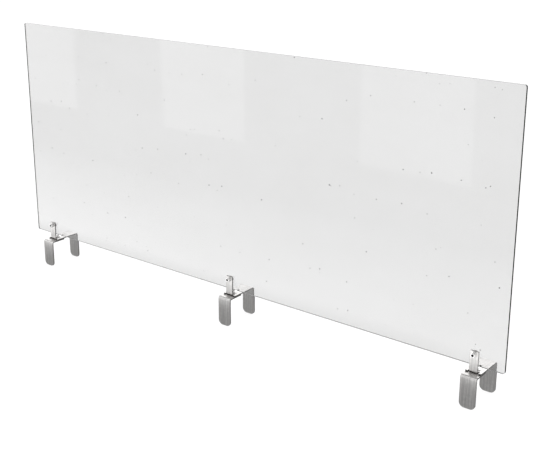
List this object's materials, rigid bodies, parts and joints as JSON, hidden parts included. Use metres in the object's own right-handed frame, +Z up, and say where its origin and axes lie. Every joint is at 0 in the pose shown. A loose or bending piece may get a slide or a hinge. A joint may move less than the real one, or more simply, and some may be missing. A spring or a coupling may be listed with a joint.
{
  "type": "clear privacy panel with saddle clamps",
  "caption": "Wide clear sheet screwed to steel posts on adjustable U-shaped saddle clamps that drop over the top edge of a partition wall.",
  "frame": {"origin": "on the underside of the middle front jaw, where it rests on the partition's top, halfway along the panel and under the middle of its thickness", "axes": "+X along the panel to the right as seen from the front, +Y to the back, from the posts' side to the rear legs, +Z up"},
  "size_m": [1.499, 0.099, 0.7025],
  "materials": {
    "clear_acrylic": "clear, polished faces and darker sawn edges",
    "brushed_steel": "brushed along the strip",
    "bright_steel": "bright, turned",
    "clear_nylon": "milky"
  },
  "bodies": {
    "panel": {"clear_panel": "clear_acrylic", "rear_strap_left": "brushed_steel", "panel_screw_left": "bright_steel", "panel_screw_washer_left": "bright_steel", "soft_washer_left": "clear_nylon", "barrel_nut_left": "bright_steel", "rear_strap_middle": "brushed_steel", "panel_screw_middle": "bright_steel", "panel_screw_washer_middle": "bright_steel", "soft_washer_middle": "clear_nylon", "barrel_nut_middle": "bright_steel", "rear_strap_right": "brushed_steel", "panel_screw_right": "bright_steel", "panel_screw_washer_right": "bright_steel", "soft_washer_right": "clear_nylon", "barrel_nut_right": "bright_steel"},
    "jaw_left": {"front_jaw_left": "brushed_steel", "clamp_screw_left": "bright_steel", "clamp_washer_left": "bright_steel", "clinch_nut_left": "bright_steel"},
    "jaw_middle": {"front_jaw_middle": "brushed_steel", "clamp_screw_middle": "bright_steel", "clamp_washer_middle": "bright_steel", "clinch_nut_middle": "bright_steel"},
    "jaw_right": {"front_jaw_right": "brushed_steel", "clamp_screw_right": "bright_steel", "clamp_washer_right": "bright_steel", "clinch_nut_right": "bright_steel"}
  },
  "joints": [
    {"name": "jaw_slide_left", "type": "slide", "parent": "panel", "child": "jaw_left", "axis": [0, 1, 0], "range_m": [-0.002, 0.02]},
    {"name": "jaw_slide_middle", "type": "slide", "parent": "panel", "child": "jaw_middle", "axis": [0, 1, 0], "range_m": [-0.002, 0.02]},
    {"name": "jaw_slide_right", "type": "slide", "parent": "panel", "child": "jaw_right", "axis": [0, 1, 0], "range_m": [-0.002, 0.02]}
  ]
}
